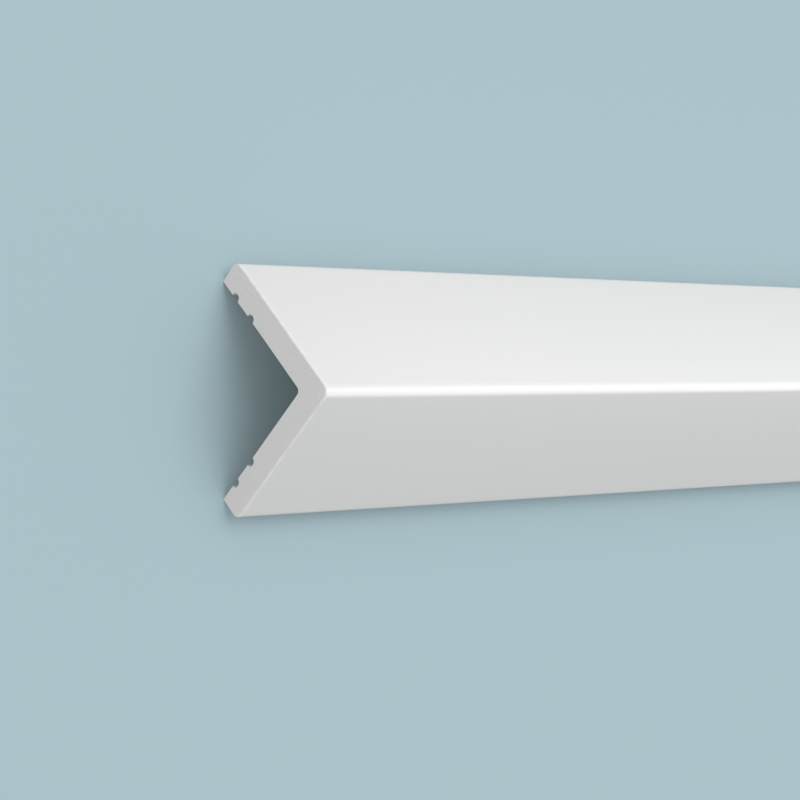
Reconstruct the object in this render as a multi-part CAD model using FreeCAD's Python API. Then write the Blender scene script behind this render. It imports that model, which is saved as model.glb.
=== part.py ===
"""Corner guard moulding: one length of an equal-leg angle moulding, glued over the outside corner
of two walls to protect and trim it.

It is extruded in hard polymer foam as one piece, so it is one solid in one node. Millimetres.

The frame: X runs along the length and Z is up. The moulding lies as a ridge on the back corners of
its two legs, with its nose on top and the hollow that takes the wall's corner underneath. The
origin is on the floor at mid length, under the nose.
"""

import FreeCAD, Part
from FreeCAD import Vector
import math
import os

# The stock: its length, the width of each leg over the sharp nose, and the foam's thickness
LENGTH = 2000.0
LEG_WIDTH = 35.0
WALL = 5.5

# The rounds of the section: nose and leg tips are soft to the hand, the back corners stay sharp
NOSE_RADIUS = 2.0
TIP_RADIUS = 1.5
HEEL_RADIUS = 1.0
SHARP = 0.0

# The half-round glue grooves along the back of each leg, each placed from the end of the leg
GROOVE_RADIUS = 1.0
GROOVE_PLACES = (4.7, 10.5)

# The sawn ends have their outer edges broken, round the two outer faces and over the nose
END_ROUND = 0.4

# Both legs slope at 45 degrees, and the sharp nose stands this high above the floor
SLOPE = math.sqrt(0.5)
NOSE_HEIGHT = (LEG_WIDTH + WALL) * SLOPE

# Two places closer than this are the same place
TOLERANCE = 0.001

NODE = "corner_guard"


def leg_point(side, along, depth):
    """A point of the section, in the plane of the near end.

    side is 1 for the leg towards +Y and -1 for the other, along runs down the leg from the sharp
    nose, and depth is measured square into the foam from the leg's outer face.
    """
    y = side * (along - depth) * SLOPE
    z = NOSE_HEIGHT - (along + depth) * SLOPE
    return Vector(-LENGTH / 2, y, z)


def corner_arc(before, corner, after, radius):
    """The start, middle and end of the arc that rounds a corner between its two neighbours."""
    to_before = (before - corner).normalize()
    to_after = (after - corner).normalize()
    half_angle = to_before.getAngle(to_after) / 2
    setback = radius / math.tan(half_angle)
    reach = radius / math.sin(half_angle) - radius
    middle = corner + (to_before + to_after).normalize() * reach
    return corner + to_before * setback, middle, corner + to_after * setback


def rounded_face(corners):
    """A flat face whose outline runs through (point, radius) corners, each rounded tangentially."""
    points = [point for point, _ in corners]
    arcs = []
    for i, (point, radius) in enumerate(corners):
        following = points[(i + 1) % len(points)]
        arcs.append(corner_arc(points[i - 1], point, following, radius))
    edges = []
    for i, (start, middle, end) in enumerate(arcs):
        next_start = arcs[(i + 1) % len(arcs)][0]
        if start != end:
            edges.append(Part.Arc(start, middle, end).toShape())
        edges.append(Part.LineSegment(end, next_start).toShape())
    return Part.Face(Part.Wire(edges))


def angle_section():
    """The equal-leg angle, as the extruder's die shapes it, still without its grooves."""
    return rounded_face(
        [
            (leg_point(1, 0, 0), NOSE_RADIUS),
            (leg_point(1, LEG_WIDTH, 0), TIP_RADIUS),
            (leg_point(1, LEG_WIDTH, WALL), SHARP),
            (leg_point(1, WALL, WALL), HEEL_RADIUS),
            (leg_point(-1, LEG_WIDTH, WALL), SHARP),
            (leg_point(-1, LEG_WIDTH, 0), TIP_RADIUS),
        ]
    )


def outer_end_edges(ridge):
    """The edges of both ends that run down one outer face, over the nose and down the other.

    Their middles are above the floor, and the ridge's base is below it.
    """
    edges = []
    for edge in ridge.Edges:
        places = [vertex.X for vertex in edge.Vertexes]
        crosswise = max(places) - min(places) < TOLERANCE
        if crosswise and edge.CenterOfMass.z > 0:
            edges.append(edge)
    return edges


def eased_ridge():
    """A full ridge with the outer faces of the angle, and its base far below the floor.

    It stands for the pass of an abrasive block over each end: only its outer edges are rounded.
    """
    reach = 2 * LEG_WIDTH
    section = rounded_face(
        [
            (leg_point(1, 0, 0), NOSE_RADIUS),
            (leg_point(1, reach, 0), SHARP),
            (leg_point(-1, reach, 0), SHARP),
        ]
    )
    ridge = section.extrude(Vector(LENGTH, 0, 0))
    return ridge.makeFillet(END_ROUND, outer_end_edges(ridge))


def eased_stock():
    """The plain angle, sawn square at its full length, with the outer edges of both ends eased.

    The rounding dies out over the tips, which curve away from it, and the back edges stay sharp.
    """
    stock = angle_section().extrude(Vector(LENGTH, 0, 0))
    return stock.common(eased_ridge())


def glue_groove(side, place):
    """The rod that cuts one glue groove. It is centred on the back face, so it bites by half."""
    start = leg_point(side, LEG_WIDTH - place, WALL)
    return Part.makeCylinder(GROOVE_RADIUS, LENGTH, start, Vector(1, 0, 0))


def corner_guard():
    """One length of the moulding, with two glue grooves down the back of each leg."""
    guard = eased_stock()
    for side in (1, -1):
        for place in GROOVE_PLACES:
            guard = guard.cut(glue_groove(side, place))
    return guard.Solids[0]


os.makedirs("parts", exist_ok=True)
guard = corner_guard()
guard.exportStep(os.path.join("parts", NODE + ".step"))

box = guard.optimalBoundingBox(False, False)
print(NODE, "valid", guard.isValid(), "solids", len(guard.Solids), "faces", len(guard.Faces))
print("length, width, height", round(box.XLength, 3), round(box.YLength, 3), round(box.ZLength, 3))
print("lowest point", round(box.ZMin, 4), "volume in litres", round(guard.Volume / 1e6, 4))
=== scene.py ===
# %% [markdown]
# A white corner guard moulding
#
# A corner guard is a length of angle moulding, glued over an outside corner to take the knocks. This
# one is extruded in hard polymer foam and primed white. It lies on the floor as a ridge, with its
# nose on top.
#
# The construction is already made and packed as a fixed frame, and this lesson makes its looks.
# Everything is in metres, in the frame's own axes: X along the length, Z up, and the origin on the
# floor at mid length.

# %% Load the frame
import bpy
import math
from mathutils import Matrix, Vector


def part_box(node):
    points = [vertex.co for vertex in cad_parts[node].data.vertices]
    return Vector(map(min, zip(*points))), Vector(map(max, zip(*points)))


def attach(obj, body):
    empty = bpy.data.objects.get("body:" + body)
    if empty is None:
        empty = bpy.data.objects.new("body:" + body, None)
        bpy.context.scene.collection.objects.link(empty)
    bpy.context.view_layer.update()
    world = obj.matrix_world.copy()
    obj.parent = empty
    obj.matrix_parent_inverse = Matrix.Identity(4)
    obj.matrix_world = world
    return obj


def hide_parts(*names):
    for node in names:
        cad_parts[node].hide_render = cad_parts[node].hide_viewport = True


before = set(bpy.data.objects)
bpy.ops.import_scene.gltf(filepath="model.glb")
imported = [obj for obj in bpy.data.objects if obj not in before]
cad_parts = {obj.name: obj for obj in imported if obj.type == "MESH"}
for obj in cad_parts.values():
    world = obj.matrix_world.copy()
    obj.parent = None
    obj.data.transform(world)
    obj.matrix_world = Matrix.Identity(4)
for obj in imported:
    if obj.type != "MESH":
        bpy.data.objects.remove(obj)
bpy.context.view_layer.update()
CAD_NODE = "corner_guard"
low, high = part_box(CAD_NODE)
print("nodes:", sorted(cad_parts), "size in metres:", [round(x, 4) for x in high - low])

# %% [markdown]
# The sizes of the stock
#
# An extrusion is known by its section, so a few sizes give the whole shape: the width of a leg, the
# thickness of the foam, four radii and the places of the glue grooves. One more radius eases the
# sawn ends, and the length is read from the frame. The section's own width and height, worked out
# here, must agree with the frame's box.

# %% Sizes of the section
MM = 0.001
LENGTH = high.x - low.x
LEG_WIDTH = 35 * MM
WALL = 5.5 * MM
NOSE_RADIUS = 2 * MM
TIP_RADIUS = 1.5 * MM
HEEL_RADIUS = 1 * MM
GROOVE_RADIUS = 1 * MM
OUTER_GROOVE_PLACE = 4.7 * MM
INNER_GROOVE_PLACE = 10.5 * MM
END_ROUND = 0.4 * MM

SLOPE = math.sqrt(0.5)
ROUND_CUTS_OFF = math.sqrt(2) - 1
NOSE_HEIGHT = (LEG_WIDTH + WALL) * SLOPE
width = 2 * (LEG_WIDTH * SLOPE - TIP_RADIUS * ROUND_CUTS_OFF)
height = NOSE_HEIGHT - NOSE_RADIUS * ROUND_CUTS_OFF
misfit = width - (high.y - low.y), height - high.z
print("section off the frame's box by, in mm:", [round(x / MM, 3) for x in misfit])

# %% [markdown]
# Helpers for nodes and colours
#
# Materials and Geometry Nodes are both trees of nodes, and a script makes them the same way each
# time: add a node, set its own settings, then feed each socket with a constant or a link. One
# function does that, with a small one beside it for a single socket. A last one turns a colour,
# written as it looks on a screen, into the linear numbers that light is reckoned in.

# %% Helpers for nodes and colours
def feed(tree, socket, value):
    """Feeds a socket with a constant, with another socket, or with a node's first output."""
    if isinstance(value, bpy.types.Node):
        value = value.outputs[0]
    if isinstance(value, bpy.types.NodeSocket):
        tree.links.new(value, socket)
    else:
        socket.default_value = value


def add_node(tree, kind, inputs=None, **settings):
    """Adds a node with its settings. inputs feeds its sockets, by their name or number."""
    node = tree.nodes.new(kind)
    for name, value in settings.items():
        setattr(node, name, value)
    for name, value in (inputs or {}).items():
        feed(tree, node.inputs[name], value)
    return node


def linear(hex_colour):
    """Turns sRGB hex, by the sRGB formula, into the linear red, green, blue and alpha of a socket."""
    screen = [int(hex_colour[i : i + 2], 16) / 255 for i in (1, 3, 5)]
    return [(c / 12.92 if c <= 0.04045 else ((c + 0.055) / 1.055) ** 2.4) for c in screen] + [1.0]


print("white of the primer, linear:", [round(c, 3) for c in linear("#EEEDEC")])

# %% [markdown]
# Primer on the faces that show
#
# The outer faces, the nose and the leg tips carry a coat of water-based acrylic primer, put on at the
# factory. It dries to a satin white. Close up it has a faint orange peel, because the wet coat draws
# up into soft bumps about 1.5 mm across before it sets, and it is a little duller in long streaks
# where the coater ran along the length. Both are kept low, so that the faces still look smooth.
#
# An image wrapped round the moulding could carry all this. Noise on Object coordinates is chosen,
# because it needs no unwrapping, and its scale comes straight from a size in millimetres.

# %% A material to build on
def new_material(name):
    """A material with an output, a shader and Object coordinates, and no pattern between them yet."""
    material = bpy.data.materials.new(name)
    material.use_nodes = True
    tree = material.node_tree
    tree.nodes.clear()
    shader = add_node(tree, "ShaderNodeBsdfPrincipled")
    add_node(tree, "ShaderNodeOutputMaterial", {"Surface": shader})
    coordinates = add_node(tree, "ShaderNodeTexCoord")
    return material, tree, shader, coordinates.outputs["Object"]


# %% Primer
ACRYLIC_IOR = 1.49

# Noise seldom leaves this range, so a Map Range node stretches it from here
NOISE_LOW, NOISE_HIGH = 0.3, 0.7

# A Mix node has an A and a B for each type of data, so its colour sockets go by their numbers
COLOUR_A, COLOUR_B, MIXED_COLOUR = 6, 7, 2


def satin_primer():
    bump_width, bump_height = 1.5 * MM, 0.006 * MM
    streak_width, patch_width, lengthened = 6 * MM, 25 * MM, 12
    satin, duller = 0.3, 0.38
    material, tree, shader, place = new_material("acrylic_primer_satin_white")
    peel = add_node(tree, "ShaderNodeTexNoise", {"Vector": place, "Scale": 1 / bump_width, "Detail": 2.0})
    bump = add_node(tree, "ShaderNodeBump", {"Height": peel, "Strength": 1.0, "Distance": bump_height})
    along = add_node(tree, "ShaderNodeMapping", {"Vector": place, "Scale": (1 / lengthened, 1, 1)})
    narrow = {"Vector": along, "Scale": 1 / streak_width, "Detail": 3.0}
    streaks = add_node(tree, "ShaderNodeTexNoise", narrow)
    spread = {"Value": streaks, "From Min": NOISE_LOW, "From Max": NOISE_HIGH}
    roughness = add_node(tree, "ShaderNodeMapRange", {**spread, "To Min": satin, "To Max": duller})
    broad = {"Vector": along, "Scale": 1 / patch_width, "Detail": 2.0}
    patches = add_node(tree, "ShaderNodeTexNoise", broad)
    whites = {"Factor": patches, COLOUR_A: linear("#EEEDEC"), COLOUR_B: linear("#F1F0EF")}
    colour = add_node(tree, "ShaderNodeMix", whites, data_type="RGBA")
    feed(tree, shader.inputs["Base Color"], colour.outputs[MIXED_COLOUR])
    feed(tree, shader.inputs["Roughness"], roughness)
    feed(tree, shader.inputs["Normal"], bump)
    feed(tree, shader.inputs["IOR"], ACRYLIC_IOR)
    return material


primer = satin_primer()
print("made", primer.name, "with", len(primer.node_tree.nodes), "nodes")

# %% [markdown]
# Bare foam on the back and in the glue grooves
#
# The back is left bare, because adhesive grips the foam better than paint. The die has drawn fine
# lines along it, as it does on all extruded foam, and the skin is duller than the primer and a touch
# warmer. The lines are far too fine to model, so noise makes them. It is stretched along X, which
# leaves lines about 0.4 mm wide and 200 times as long, and it both shades them and lifts them as a
# bump.

# %% Bare foam skin
FOAM_IOR = 1.55


def bare_foam_skin():
    line_width, line_height, lengthened = 0.4 * MM, 0.025 * MM, 200
    dull = 0.6
    material, tree, shader, place = new_material("extruded_foam_skin")
    along = add_node(tree, "ShaderNodeMapping", {"Vector": place, "Scale": (1 / lengthened, 1, 1)})
    lines = add_node(tree, "ShaderNodeTexNoise", {"Vector": along, "Scale": 1 / line_width, "Detail": 3.0})
    bump = add_node(tree, "ShaderNodeBump", {"Height": lines, "Strength": 1.0, "Distance": line_height})
    spread = {"Value": lines, "From Min": NOISE_LOW, "From Max": NOISE_HIGH}
    shade = add_node(tree, "ShaderNodeMapRange", spread)
    foams = {"Factor": shade, COLOUR_A: linear("#E1E0DB"), COLOUR_B: linear("#EEEDE9")}
    colour = add_node(tree, "ShaderNodeMix", foams, data_type="RGBA")
    feed(tree, shader.inputs["Base Color"], colour.outputs[MIXED_COLOUR])
    feed(tree, shader.inputs["Normal"], bump)
    feed(tree, shader.inputs["Roughness"], dull)
    feed(tree, shader.inputs["IOR"], FOAM_IOR)
    return material


foam_skin = bare_foam_skin()
print("made", foam_skin.name, "with", len(foam_skin.node_tree.nodes), "nodes")

# %% [markdown]
# Sawn foam on the ends
#
# A fine-toothed saw opens the foam's closed cells, so the ends are matt and finely pitted. A Voronoi
# texture suits them, because it is made of cells itself. The real ones are about 0.1 mm across. That
# is finer than the picture can show, so they are drawn 0.35 mm across, with faint lines from the
# saw's teeth over them. The same cells set the colour, which is partly the foam's own tone and
# partly painted shade: it is darkest at the middle of each pit, where the bump sinks lowest.

# %% Sawn foam
def sawn_foam():
    cell_width, cell_share = 0.35 * MM, 0.5
    tooth_gap, stroke, saw_lean = 0.7 * MM, 30, math.radians(35)
    relief_height, matt = 0.02 * MM, 0.75
    material, tree, shader, place = new_material("sawn_polymer_foam")
    cells = add_node(tree, "ShaderNodeTexVoronoi", {"Vector": place, "Scale": 1 / cell_width})
    leaning = {"Vector": place, "Rotation": (saw_lean, 0, 0), "Scale": (1, 1, 1 / stroke)}
    saw_way = add_node(tree, "ShaderNodeMapping", leaning)
    kerf = add_node(tree, "ShaderNodeTexNoise", {"Vector": saw_way, "Scale": 1 / tooth_gap, "Detail": 2.0})
    relief = add_node(tree, "ShaderNodeMath", {0: cells, 1: cell_share, 2: kerf}, operation="MULTIPLY_ADD")
    pits = {"Height": relief, "Strength": 1.0, "Distance": relief_height}
    bump = add_node(tree, "ShaderNodeBump", pits)
    # Painted shade in the pits: the colour is darkest at the middle of each cell, where the bump sinks
    # lowest
    foams = {"Factor": cells, COLOUR_A: linear("#E4E3E3"), COLOUR_B: linear("#EDECEC")}
    colour = add_node(tree, "ShaderNodeMix", foams, data_type="RGBA")
    feed(tree, shader.inputs["Base Color"], colour.outputs[MIXED_COLOUR])
    feed(tree, shader.inputs["Normal"], bump)
    feed(tree, shader.inputs["Roughness"], matt)
    feed(tree, shader.inputs["IOR"], FOAM_IOR)
    return material


foam_end = sawn_foam()
print("made", foam_end.name, "with", len(foam_end.node_tree.nodes), "nodes")

# %% [markdown]
# Sanded foam, and a painted highlight, on the eased edges
#
# A fine abrasive block takes the sharpness off the outer edges of each end, and the primer with it.
# The dust fills the foam's cells, so a sanded edge is smoother than a sawn face. Its colour is whiter
# than the primer, partly because it is bare sanded foam and partly as a painted highlight, which
# stands in for the thin bright line of light that the round catches. It is a little uneven, partly
# as a hand makes it and partly as painted highlight: the patches are about 1.5 mm long, and the
# scratches of the grit, 0.1 mm apart, are drawn 0.4 mm apart.

# %% Sanded foam, with a painted highlight
def sanded_foam_with_painted_highlight():
    patch_width, less_rubbed_less_highlight, more_rubbed_more_highlight = 1.5 * MM, 0.35, 0.65
    grit_width, grit_height = 0.4 * MM, 0.01 * MM
    half_matt = 0.5
    material, tree, shader, place = new_material("sanded_polymer_foam_and_painted_highlight")
    # The patches make the whiter colour uneven, partly as rubbing and partly as painted highlight
    rubs = {"Vector": place, "Scale": 1 / patch_width, "Detail": 3.0}
    patches = add_node(tree, "ShaderNodeTexNoise", rubs)
    spread = {"Value": patches, "From Min": less_rubbed_less_highlight, "From Max": more_rubbed_more_highlight}
    whiter = add_node(tree, "ShaderNodeMapRange", spread)
    grit = add_node(tree, "ShaderNodeTexNoise", {"Vector": place, "Scale": 1 / grit_width, "Detail": 2.0})
    bump = add_node(tree, "ShaderNodeBump", {"Height": grit, "Strength": 1.0, "Distance": grit_height})
    # Whiter than the primer: partly the sanded foam's own colour, partly a painted highlight along the
    # eased edge
    foams = {"Factor": whiter, COLOUR_A: linear("#EFEFEE"), COLOUR_B: linear("#F8F8F7")}
    colour = add_node(tree, "ShaderNodeMix", foams, data_type="RGBA")
    feed(tree, shader.inputs["Base Color"], colour.outputs[MIXED_COLOUR])
    feed(tree, shader.inputs["Normal"], bump)
    feed(tree, shader.inputs["Roughness"], half_matt)
    feed(tree, shader.inputs["IOR"], FOAM_IOR)
    return material


foam_edge = sanded_foam_with_painted_highlight()
print("made", foam_edge.name, "with", len(foam_edge.node_tree.nodes), "nodes")

# %% [markdown]
# The die's outline, as a node tree
#
# The section could be a list of points, but a maker thinks of it as corners, each with its own
# radius, and so does this tree. It draws the angle square on, with the sharp outer corner at the
# origin and a leg along each axis, and a Fillet Curve node rounds the corners. A corner with no
# radius stays one sharp point.
#
# The die forms the glue grooves too. A half-round groove needs no circle here: it is a notch, twice
# as wide as it is deep, whose two inner corners are rounded by its whole depth, so that their quarter
# rounds meet at the bottom.

# %% A tree with named inputs
FLOAT, INTEGER, MATERIAL = "NodeSocketFloat", "NodeSocketInt", "NodeSocketMaterial"


def new_tree(name, inputs, output):
    """A geometry tree with named inputs, given as (name, socket kind), and one output."""
    tree = bpy.data.node_groups.new(name, "GeometryNodeTree")
    for label, kind in inputs:
        tree.interface.new_socket(label, in_out="INPUT", socket_type=kind)
    tree.interface.new_socket(output, in_out="OUTPUT", socket_type="NodeSocketGeometry")
    return tree, add_node(tree, "NodeGroupInput").outputs


# %% A line that is rounded at its corners
def rounded_line(tree, row, corners, steps):
    """Moves a row of points to the corners, given as (X, Y, radius), and rounds each by its radius.

    Two Index Switch nodes give each point of the row its own place and its own radius.
    """
    path = add_node(tree, "GeometryNodeMeshToCurve", {"Mesh": row})
    index = add_node(tree, "GeometryNodeInputIndex")
    places = add_node(tree, "GeometryNodeIndexSwitch", {"Index": index}, data_type="VECTOR")
    radii = add_node(tree, "GeometryNodeIndexSwitch", {"Index": index}, data_type="FLOAT")
    for number, (x, y, radius) in enumerate(corners):
        for switch in (places, radii):
            if len(switch.index_switch_items) <= number:
                switch.index_switch_items.new()
        place = add_node(tree, "ShaderNodeCombineXYZ", {"X": x, "Y": y})
        feed(tree, places.inputs[number + 1], place)
        feed(tree, radii.inputs[number + 1], radius)
    drawn = add_node(tree, "GeometryNodeSetPosition", {"Geometry": path, "Position": places})
    rounds = {"Curve": drawn, "Count": steps, "Radius": radii}
    return add_node(tree, "GeometryNodeFilletCurve", rounds, mode="POLY")


# %% The corners of a glue groove
SHARP = 0.0


def groove_corners(tree, size, groove):
    """The four corners of a glue groove, in the order met on the way from the leg's end to the heel."""
    wall, radius = size["Wall"], size["Groove radius"]
    middle = add_node(tree, "ShaderNodeMath", {0: size["Leg width"], 1: size[groove]}, operation="SUBTRACT")
    outer = add_node(tree, "ShaderNodeMath", {0: middle, 1: radius}, operation="ADD")
    inner = add_node(tree, "ShaderNodeMath", {0: middle, 1: radius}, operation="SUBTRACT")
    bottom = add_node(tree, "ShaderNodeMath", {0: wall, 1: radius}, operation="SUBTRACT")
    return [(outer, wall, SHARP), (outer, bottom, radius), (inner, bottom, radius), (inner, wall, SHARP)]


# %% The outline tree
SECTION_SIZES = ["Leg width", "Wall", "Nose radius", "Tip radius", "Heel radius", "Groove radius"]
GROOVES = ["Outer groove", "Inner groove"]


def outline_tree():
    names = [(name, FLOAT) for name in SECTION_SIZES + GROOVES] + [("Arc steps", INTEGER)]
    tree, size = new_tree("die_outline", names, "Curve")
    leg, wall = size["Leg width"], size["Wall"]
    one_leg = [(leg, 0.0, size["Tip radius"]), (leg, wall, SHARP)]
    for groove in GROOVES:
        one_leg += groove_corners(tree, size, groove)
    other_leg = [(y, x, radius) for x, y, radius in reversed(one_leg)]
    nose = (0.0, 0.0, size["Nose radius"])
    heel = (wall, wall, size["Heel radius"])
    corners = [nose] + one_leg + [heel] + other_leg
    ring = add_node(tree, "GeometryNodeMeshCircle", {"Vertices": len(corners)})
    loop = rounded_line(tree, ring, corners, size["Arc steps"])
    add_node(tree, "NodeGroupOutput", {"Curve": loop})
    return tree


outline = outline_tree()
print("made", outline.name, "with", len(outline.nodes), "nodes")

# %% [markdown]
# Easing the sawn ends
#
# A plain sweep would leave the sawn ends razor sharp. On the real ones the outer edges are broken,
# down both outer faces and over the nose, so that they catch a fine line of light, and the edges of
# the tips and of the back stay sharp. A Bevel modifier rounds an edge by one width, and this round
# has to die out at the tips. So each ring of points near an end is the outline with its outer faces
# moved in a little.
#
# A point on the nose goes towards the nose's centre. Any other point that is left outside a moved
# face belongs to the round of a tip, and all of those go to one place, the shoulder, where the round
# comes out of the moved face. There they merge, and so the easing dies out.

# %% Where a point of the nose goes
def eased_nose(tree, size, place, inset):
    """The nose's radius gets shorter by the inset, so its points come nearer to its centre."""
    nose = size["Nose radius"]
    centre = add_node(tree, "ShaderNodeCombineXYZ", {"X": nose, "Y": nose})
    arm = add_node(tree, "ShaderNodeVectorMath", {0: place, 1: centre}, operation="SUBTRACT")
    lost = add_node(tree, "ShaderNodeMath", {0: inset, 1: nose}, operation="DIVIDE")
    kept = add_node(tree, "ShaderNodeMath", {0: 1.0, 1: lost}, operation="SUBTRACT")
    shorter = add_node(tree, "ShaderNodeVectorMath", {0: arm, "Scale": kept}, operation="SCALE")
    return add_node(tree, "ShaderNodeVectorMath", {0: centre, 1: shorter}, operation="ADD")


# %% Where the shoulder of a tip is
def shoulder_of(tree, size, inset):
    """How far along its leg a tip's round is as deep as the inset, by Pythagoras."""
    tip = size["Tip radius"]
    straight = add_node(tree, "ShaderNodeMath", {0: size["Leg width"], 1: tip}, operation="SUBTRACT")
    across = add_node(tree, "ShaderNodeMath", {0: tip, 1: 2.0}, operation="MULTIPLY")
    rest = add_node(tree, "ShaderNodeMath", {0: across, 1: inset}, operation="SUBTRACT")
    square = add_node(tree, "ShaderNodeMath", {0: inset, 1: rest}, operation="MULTIPLY")
    reach = add_node(tree, "ShaderNodeMath", {0: square}, operation="SQRT")
    return add_node(tree, "ShaderNodeMath", {0: straight, 1: reach}, operation="ADD")


# %% Where a point of a leg goes
def eased_leg(tree, size, place, inset):
    """The larger of X and Y runs along the leg, and the smaller one is the depth into the foam."""
    parts = add_node(tree, "ShaderNodeSeparateXYZ", {0: place})
    x, y = parts.outputs["X"], parts.outputs["Y"]
    along = add_node(tree, "ShaderNodeMath", {0: x, 1: y}, operation="MAXIMUM")
    depth = add_node(tree, "ShaderNodeMath", {0: x, 1: y}, operation="MINIMUM")
    outside = add_node(tree, "FunctionNodeCompare", {"A": depth, "B": inset}, operation="LESS_THAN")
    choice = {"Switch": outside, "False": along, "True": shoulder_of(tree, size, inset)}
    new_along = add_node(tree, "GeometryNodeSwitch", choice, input_type="FLOAT")
    new_depth = add_node(tree, "ShaderNodeMath", {0: depth, 1: inset}, operation="MAXIMUM")
    on_x_leg = add_node(tree, "FunctionNodeCompare", {"A": x, "B": y}, operation="GREATER_THAN")
    x_leg = add_node(tree, "ShaderNodeCombineXYZ", {"X": new_along, "Y": new_depth})
    y_leg = add_node(tree, "ShaderNodeCombineXYZ", {"X": new_depth, "Y": new_along})
    legs = {"Switch": on_x_leg, "False": y_leg, "True": x_leg}
    return add_node(tree, "GeometryNodeSwitch", legs, input_type="VECTOR")


# %% Where any point of an eased ring goes
def eased(tree, size, place, inset):
    """The place of an outline point, in the drawing, once the outer faces have moved in by an inset.

    Only the points of the nose are nearer to the sharp outer corner than the foam is thick.
    """
    distance = add_node(tree, "ShaderNodeVectorMath", {0: place}, operation="LENGTH")
    apart = {"A": distance.outputs["Value"], "B": size["Wall"]}
    past_nose = add_node(tree, "FunctionNodeCompare", apart, operation="GREATER_THAN")
    on_nose = eased_nose(tree, size, place, inset)
    on_leg = eased_leg(tree, size, place, inset)
    choice = {"Switch": past_nose, "False": on_nose, "True": on_leg}
    return add_node(tree, "GeometryNodeSwitch", choice, input_type="VECTOR")


# %% [markdown]
# The moulding, as a node tree
#
# A Curve to Mesh node would sweep the outline, but all its rings have one shape, and the eased ends
# need rings of their own. So a grid is bent round instead, with a row for each ring and a column for
# each outline point.
#
# A rail says where each ring goes: it runs round a quarter turn, along the length, and round another
# quarter turn. Its X is the place along the length and its Y is how far the outer faces have moved in
# there, so the rings sweep a quarter round at each end. Two flat caps close them. The grooves are
# part of the outline, so nothing is cut away afterwards: the skin is closed, and every face of it is
# wanted.

# %% The rail
def end_rail(tree, size):
    """The line that the rings follow, and where the two ends are along the length."""
    near_end = add_node(tree, "ShaderNodeMath", {0: size["Length"], 1: -0.5}, operation="MULTIPLY")
    far_end = add_node(tree, "ShaderNodeMath", {0: size["Length"], 1: 0.5}, operation="MULTIPLY")
    easing = size["End round"]
    stops = [
        (near_end, easing, SHARP),
        (near_end, 0.0, easing),
        (far_end, 0.0, easing),
        (far_end, easing, SHARP),
    ]
    row = add_node(tree, "GeometryNodeMeshLine", {"Count": len(stops)})
    return rounded_line(tree, row, stops, size["End steps"]), near_end, far_end


# %% Standing the drawing up
def stand_up(tree, drawing, nose_height):
    """Turns the flat drawing across the length, nose up, with its legs sloping at 45 degrees."""
    lift = add_node(tree, "ShaderNodeCombineXYZ", {"Z": nose_height})
    turn = [math.radians(angle) for angle in (-90, 45, 90)]
    upright = {"Geometry": drawing, "Translation": lift, "Rotation": turn}
    return add_node(tree, "GeometryNodeTransform", upright)


# %% A grid that knows its rings
def ring_grid(tree, rail, loop):
    """A grid, with the numbers of the stop on the rail and of the outline point for each of its points.

    It has one column more than the outline has points, to close each ring on its first point.
    """
    rows = add_node(tree, "GeometryNodeAttributeDomainSize", {"Geometry": rail}, component="CURVE")
    points = add_node(tree, "GeometryNodeAttributeDomainSize", {"Geometry": loop}, component="CURVE")
    columns = add_node(tree, "FunctionNodeIntegerMath", {0: points, 1: 1}, operation="ADD")
    grid = add_node(tree, "GeometryNodeMeshGrid", {"Vertices X": rows, "Vertices Y": columns})
    index = add_node(tree, "GeometryNodeInputIndex")
    stop = add_node(tree, "FunctionNodeIntegerMath", {0: index, 1: columns}, operation="DIVIDE")
    column = add_node(tree, "FunctionNodeIntegerMath", {0: index, 1: columns}, operation="MODULO")
    point = add_node(tree, "FunctionNodeIntegerMath", {0: column, 1: points}, operation="MODULO")
    return grid, stop, point


# %% The sleeve: every ring of the outline, joined into one skin
def sleeve(tree, size, rail, loop, nose_height):
    grid, stop, point = ring_grid(tree, rail, loop)
    position = add_node(tree, "GeometryNodeInputPosition")
    on_rail = {"Geometry": rail, "Value": position, "Index": stop}
    at_stop = add_node(tree, "GeometryNodeSampleIndex", on_rail, data_type="FLOAT_VECTOR")
    on_loop = {"Geometry": loop, "Value": position, "Index": point}
    at_point = add_node(tree, "GeometryNodeSampleIndex", on_loop, data_type="FLOAT_VECTOR")
    parts = add_node(tree, "ShaderNodeSeparateXYZ", {0: at_stop})
    place = eased(tree, size, at_point, parts.outputs["Y"])
    drawn = add_node(tree, "GeometryNodeSetPosition", {"Geometry": grid, "Position": place})
    upright = stand_up(tree, drawn, nose_height)
    slide = add_node(tree, "ShaderNodeCombineXYZ", {"X": parts.outputs["X"]})
    return add_node(tree, "GeometryNodeSetPosition", {"Geometry": upright, "Offset": slide})


# %% The caps
def cap(tree, size, loop, nose_height, end):
    """The flat of a sawn end. Fill Curve works only in a drawing's own plane, so it comes first."""
    position = add_node(tree, "GeometryNodeInputPosition")
    place = eased(tree, size, position, size["End round"])
    edge = add_node(tree, "GeometryNodeSetPosition", {"Geometry": loop, "Position": place})
    flat = add_node(tree, "GeometryNodeFillCurve", {"Curve": edge}, mode="NGONS")
    upright = stand_up(tree, flat, nose_height)
    slide = add_node(tree, "ShaderNodeCombineXYZ", {"X": end})
    return add_node(tree, "GeometryNodeTransform", {"Geometry": upright, "Translation": slide})


# %% The closed skin
SAME_POINT = 0.001 * MM


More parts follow.
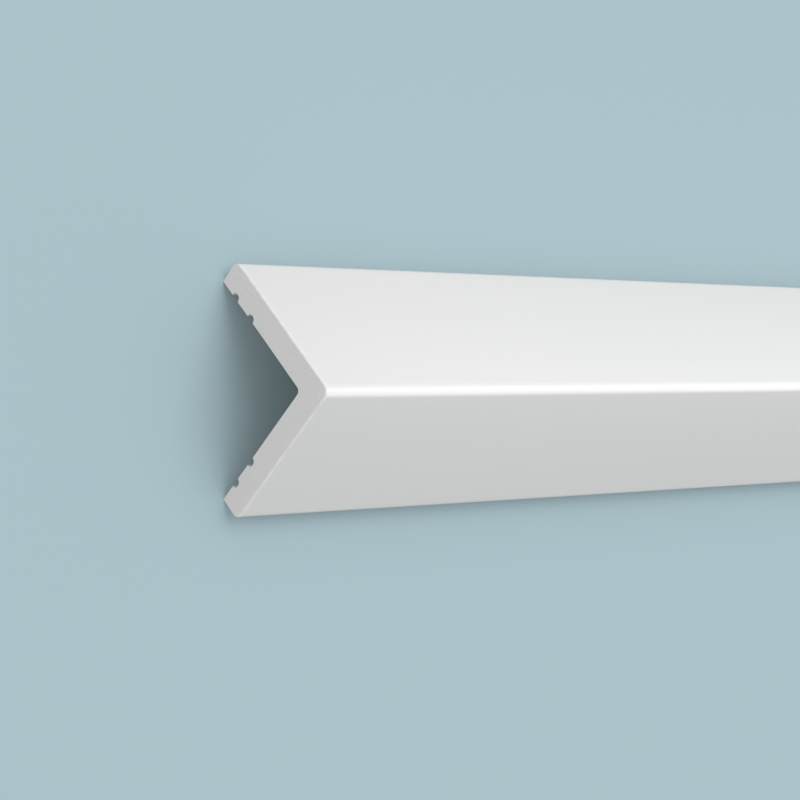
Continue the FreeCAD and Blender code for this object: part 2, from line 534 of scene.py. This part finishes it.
def closed_skin(tree, size):
    """The sleeve and its two caps as one closed skin. The far cap is flipped, to face outwards."""
    across = add_node(tree, "ShaderNodeMath", {0: size["Leg width"], 1: size["Wall"]}, operation="ADD")
    nose_height = add_node(tree, "ShaderNodeMath", {0: across, 1: SLOPE}, operation="MULTIPLY")
    section = {name: size[name] for name in SECTION_SIZES + GROOVES + ["Arc steps"]}
    loop = add_node(tree, "GeometryNodeGroup", section, node_tree=outline)
    rail, near_end, far_end = end_rail(tree, size)
    sides = sleeve(tree, size, rail, loop, nose_height)
    near_cap = cap(tree, size, loop, nose_height, near_end)
    inward_cap = cap(tree, size, loop, nose_height, far_end)
    far_cap = add_node(tree, "GeometryNodeFlipFaces", {"Mesh": inward_cap})
    parts = add_node(tree, "GeometryNodeJoinGeometry")
    for part in (sides, near_cap, far_cap):
        feed(tree, parts.inputs[0], part)
    return add_node(tree, "GeometryNodeMergeByDistance", {"Geometry": parts, "Distance": SAME_POINT})


# %% [markdown]
# Smooth rounds, sharp corners
#
# Shade Smooth blends the light over the facets of a round, but it would blend it over a true corner
# too. So all faces are smooth, and each edge that turns by more than 30 degrees is marked sharp. The
# facets of the rounds turn by far less.

# %% Smooth and sharp
CORNER_ANGLE = math.radians(30)


def smooth_rounds(tree, skin):
    everywhere = {"Geometry": skin, "Shade Smooth": True}
    smooth = add_node(tree, "GeometryNodeSetShadeSmooth", everywhere, domain="FACE")
    turn = add_node(tree, "GeometryNodeInputMeshEdgeAngle")
    sharp = add_node(tree, "FunctionNodeCompare", {"A": turn, "B": CORNER_ANGLE}, operation="GREATER_THAN")
    at_corners = {"Geometry": smooth, "Selection": sharp, "Shade Smooth": False}
    return add_node(tree, "GeometryNodeSetShadeSmooth", at_corners, domain="EDGE")


# %% [markdown]
# Which faces get which finish
#
# The faces could be picked by hand, but a rule picks them again whenever a size changes. This one
# goes by where a face points. The flats of the ends point straight along X, and only the eased edges
# point partly along it. The back and the grooves point inwards or down: there the normal's Z and its
# outward Y add up to less than nothing. On the square tips they add up to nothing, and everywhere
# else to more.

# %% Choosing faces by their normals
POINTS_INWARDS = -0.03
PARTLY_ALONG, STRAIGHT_ALONG = 0.02, 0.999


def faces_of_the_back(tree):
    normal = add_node(tree, "ShaderNodeSeparateXYZ", {0: add_node(tree, "GeometryNodeInputNormal")})
    place = add_node(tree, "ShaderNodeSeparateXYZ", {0: add_node(tree, "GeometryNodeInputPosition")})
    side = add_node(tree, "ShaderNodeMath", {0: place.outputs["Y"]}, operation="SIGN")
    ways = {0: normal.outputs["Y"], 1: side, 2: normal.outputs["Z"]}
    outward = add_node(tree, "ShaderNodeMath", ways, operation="MULTIPLY_ADD")
    return add_node(tree, "FunctionNodeCompare", {"A": outward, "B": POINTS_INWARDS}, operation="LESS_THAN")


def faces_towards_the_ends(tree, at_least):
    """The faces whose normal has at least this much of its length along X, from 0 up to 1."""
    normal = add_node(tree, "ShaderNodeSeparateXYZ", {0: add_node(tree, "GeometryNodeInputNormal")})
    share = add_node(tree, "ShaderNodeMath", {0: normal.outputs["X"]}, operation="ABSOLUTE")
    return add_node(tree, "FunctionNodeCompare", {"A": share, "B": at_least}, operation="GREATER_THAN")


# %% The finished tree
FINISHES = ["Primer", "Bare skin", "Sanded edge and painted highlight", "Sawn end"]


def moulding_tree():
    """Primer goes on every face, and each finish after it replaces it on faces of its own."""
    names = [(name, FLOAT) for name in ["Length", "End round"] + SECTION_SIZES + GROOVES]
    names += [(name, INTEGER) for name in ("Arc steps", "End steps")]
    names += [(name, MATERIAL) for name in FINISHES]
    tree, size = new_tree("corner_guard_moulding", names, "Geometry")
    shaped = smooth_rounds(tree, closed_skin(tree, size))
    dressed = add_node(tree, "GeometryNodeRealizeInstances", {"Geometry": shaped})
    back = faces_of_the_back(tree)
    eased_edges = faces_towards_the_ends(tree, PARTLY_ALONG)
    flats = faces_towards_the_ends(tree, STRAIGHT_ALONG)
    for finish, faces in zip(FINISHES, (True, back, eased_edges, flats)):
        coat = {"Geometry": dressed, "Selection": faces, "Material": size[finish]}
        dressed = add_node(tree, "GeometryNodeSetMaterial", coat)
    add_node(tree, "NodeGroupOutput", {"Geometry": dressed})
    return tree


moulding = moulding_tree()
print("made", moulding.name, "with", len(moulding.nodes), "nodes")

# %% [markdown]
# Make the moulding
#
# The tree runs as a modifier on an empty mesh. Its inputs are set before it is first worked out. A
# Weighted Normal modifier after it lets the large flat faces decide how light falls at their edges,
# so that the faces stay truly flat and only the rounds look round. Then the result is kept as a plain
# mesh, and the empty one goes, with its modifiers.

# %% Run the tree and keep its mesh
def make_moulding(name, settings):
    """The moulding as a plain mesh, from settings given by the names of the tree's inputs."""
    maker = bpy.data.objects.new(name + "_maker", bpy.data.meshes.new(name + "_seed"))
    bpy.context.scene.collection.objects.link(maker)
    growth = maker.modifiers.new("moulding", "NODES")
    growth.node_group = moulding
    for item in moulding.interface.items_tree:
        if item.in_out == "INPUT":
            growth[item.identifier] = settings[item.name]
    shading = maker.modifiers.new("flat_faces_stay_flat", "WEIGHTED_NORMAL")
    shading.keep_sharp = True
    result = maker.evaluated_get(bpy.context.evaluated_depsgraph_get())
    mesh = bpy.data.meshes.new_from_object(result)
    bpy.data.objects.remove(maker)
    mesh.name = name
    if mesh.materials[0] is None:
        # The faces begin with no material, and that leaves a first slot which none of them uses
        mesh.materials.pop(index=0)
    piece = bpy.data.objects.new(name, mesh)
    bpy.context.scene.collection.objects.link(piece)
    return piece


# %% The moulding in its real sizes
# How finely each round is drawn, in the section and at the eased ends
ARC_STEPS, END_STEPS = 20, 8

guard = make_moulding(
    "primed_foam_moulding",
    {
        "Length": LENGTH,
        "Leg width": LEG_WIDTH,
        "Wall": WALL,
        "Nose radius": NOSE_RADIUS,
        "Tip radius": TIP_RADIUS,
        "Heel radius": HEEL_RADIUS,
        "Groove radius": GROOVE_RADIUS,
        "Outer groove": OUTER_GROOVE_PLACE,
        "Inner groove": INNER_GROOVE_PLACE,
        "End round": END_ROUND,
        "Arc steps": ARC_STEPS,
        "End steps": END_STEPS,
        "Primer": primer,
        "Bare skin": foam_skin,
        "Sanded edge and painted highlight": foam_edge,
        "Sawn end": foam_end,
    },
)
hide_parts(CAD_NODE)
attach(guard, "root")
print("moulding:", len(guard.data.vertices), "vertices,", len(guard.data.polygons), "faces")
print("materials:", [material.name for material in guard.data.materials])

# %% [markdown]
# The floor
#
# The moulding lies on a plain pale floor, as it would before it is glued up. White on white would
# hide its outline, so the floor is a pale cool blue.
#
# A coloured floor would throw its tint back on a white moulding. Here it is only seen in that colour,
# and lights the moulding as a plain grey one would. The Light Path node tells the two apart: it knows
# whether a ray comes from the camera, straight or by way of gloss or glass, or gathers light.

# %% What the camera sees of a background
def seen_by_camera(tree):
    """1 for the rays that show a background, and 0 for those that gather its light."""
    rays = add_node(tree, "ShaderNodeLightPath")
    seen = rays.outputs["Is Camera Ray"]
    for way in ("Is Glossy Ray", "Is Transmission Ray"):
        seen = add_node(tree, "ShaderNodeMath", {0: seen, 1: rays.outputs[way]}, operation="MAXIMUM")
    return seen


# %% Floor paint
FLOOR_COLOUR = linear("#B9D2DA")
FLOOR_GREY = linear("#CACACA")

floor_paint, floor_tree, floor_shader, _ = new_material("pale_floor_paint")
paints = {"Factor": seen_by_camera(floor_tree), COLOUR_A: FLOOR_GREY, COLOUR_B: FLOOR_COLOUR}
painted = add_node(floor_tree, "ShaderNodeMix", paints, data_type="RGBA")
feed(floor_tree, floor_shader.inputs["Base Color"], painted.outputs[MIXED_COLOUR])
feed(floor_tree, floor_shader.inputs["Roughness"], 1.0)
feed(floor_tree, floor_shader.inputs["Specular IOR Level"], 0.0)
print("made", floor_paint.name, "with", len(floor_tree.nodes), "nodes")

# %% The floor
FLOOR_HALF_SIDE = 40.0

ways = [(-1, -1), (1, -1), (1, 1), (-1, 1)]
corners = [(x * FLOOR_HALF_SIDE, y * FLOOR_HALF_SIDE, 0.0) for x, y in ways]
floor_mesh = bpy.data.meshes.new("floor")
floor_mesh.from_pydata(corners, [], [(0, 1, 2, 3)])
floor_mesh.materials.append(floor_paint)
floor = bpy.data.objects.new("floor", floor_mesh)
bpy.context.scene.collection.objects.link(floor)
print("floor:", 2 * FLOOR_HALF_SIDE, "m square")

# %% [markdown]
# An even sky
#
# Most of the light comes from all round, as in a white studio, so it is the world's. Where the camera
# would see the world itself, past the floor's far edge, it has the lit floor's colour, so that no
# horizon shows.

# %% The sky
SKY_LEVEL = 0.532
LIT_FLOOR_LEVEL = 0.835
WHITE = linear("#FFFFFF")

world = bpy.data.worlds.new("even_sky")
bpy.context.scene.world = world
world.use_nodes = True
sky = world.node_tree
sky.nodes.clear()
light_sky = add_node(sky, "ShaderNodeBackground", {"Color": WHITE, "Strength": SKY_LEVEL})
shown_sky = add_node(sky, "ShaderNodeBackground", {"Color": FLOOR_COLOUR, "Strength": LIT_FLOOR_LEVEL})
mixed_sky = add_node(sky, "ShaderNodeMixShader", {0: seen_by_camera(sky), 1: light_sky, 2: shown_sky})
add_node(sky, "ShaderNodeOutputWorld", {"Surface": mixed_sky})
print("sky level:", SKY_LEVEL)

# %% [markdown]
# Two soft lamps
#
# Both lamps are suns with a wide disc, because a sun lights a long piece the same from end to end.
# The overhead one leans to the left leg's side, so that the left face is lighter than the right one.
# The low one faces the near end, and keeps it from going dull.

# %% Suns
def add_lamp(name, kind):
    lamp = bpy.data.lights.new(name, kind)
    lamp_object = bpy.data.objects.new(name, lamp)
    bpy.context.scene.collection.objects.link(lamp_object)
    lamp_object.visible_camera = False
    return lamp, lamp_object


def add_sun(name, toward, level, spread):
    """A soft sun in the direction toward. level is how bright it makes a white face turned to it."""
    lamp, lamp_object = add_lamp(name, "SUN")
    lamp.energy = math.pi * level
    lamp.angle = math.radians(spread)
    lamp_object.rotation_euler = Vector(toward).to_track_quat("Z", "Y").to_euler()
    print(name, "of energy", round(lamp.energy, 3))
    return lamp_object


add_sun("overhead_light", toward=(0.0, 0.45, 0.89), level=0.28, spread=60)
add_sun("near_light", toward=(-0.9, 0.1, 0.42), level=0.133, spread=40)

# %% [markdown]
# A sheen on the nose, and a strip light along it
#
# The satin nose mirrors what stands beyond the far end, so a wide lamp there draws the bright line
# along it. That lamp shows only in reflections, and leaves the soft light of the faces as it is.
#
# A long strip light hangs over the nose. It is so near that the faces darken a little towards their
# tips, and towards the near end, where the strip stops. In a studio black cards would keep a strip's
# light off the floor, and here light linking does.

# %% The sheen
sheen = add_sun("sheen_light", toward=(0.727, -0.14, 0.67), level=0.51, spread=60)
sheen.visible_diffuse = False

# %% The strip light
STRIP_OVER_NOSE = 45 * MM
STRIP_TO_THE_LEFT = 15 * MM
STRIP_WIDTH = 20 * MM
STRIP_PAST_THE_ENDS = 18 * MM
STRIP_RADIANCE = 1.18

strip, strip_object = add_lamp("strip_light", "AREA")
strip.shape = "RECTANGLE"
strip.size = LENGTH + 2 * STRIP_PAST_THE_ENDS
strip.size_y = STRIP_WIDTH
strip.energy = math.pi * strip.size * strip.size_y * STRIP_RADIANCE
strip_object.location = (0.0, STRIP_TO_THE_LEFT, NOSE_HEIGHT + STRIP_OVER_NOSE)
lit_by_strip = bpy.data.collections.new("lit_by_strip")
lit_by_strip.objects.link(guard)
strip_object.light_linking.receiver_collection = lit_by_strip
print("strip light:", round(strip.size, 3), "m long")

# %% [markdown]
# Camera
#
# The camera stands beyond the near end and above the nose, and looks down along the length. Its up
# is the left leg's side, so the length runs to the right of the picture. Its place is measured from
# the sharp nose at the near end. The lens is long, as a maker's studio would use, so the far end runs
# out of the picture with little taper.

# %% Camera
CAMERA_FROM_NOSE = Vector((-309.9, 4.63, 306.6)) * MM
CAMERA_YAW = math.radians(47.0)
CAMERA_PITCH = math.radians(-0.816)
LENS_MM = 107.0
SENSOR_WIDTH_MM = 36.0
NEAREST_SEEN, FURTHEST_SEEN = 0.01, 200.0

camera_data = bpy.data.cameras.new("camera")
camera_data.lens = LENS_MM
camera_data.sensor_width = SENSOR_WIDTH_MM
camera_data.clip_start = NEAREST_SEEN
camera_data.clip_end = FURTHEST_SEEN
camera = bpy.data.objects.new("camera", camera_data)
bpy.context.scene.collection.objects.link(camera)
near_nose = Vector((-LENGTH / 2, 0.0, NOSE_HEIGHT))
turn = Matrix.Rotation(-CAMERA_YAW, 4, "Y") @ Matrix.Rotation(CAMERA_PITCH, 4, "X")
camera.matrix_world = Matrix.Translation(near_nose + CAMERA_FROM_NOSE) @ turn
bpy.context.scene.camera = camera
bpy.context.scene.view_settings.view_transform = "Standard"
print("camera at", [round(x, 4) for x in camera.location])
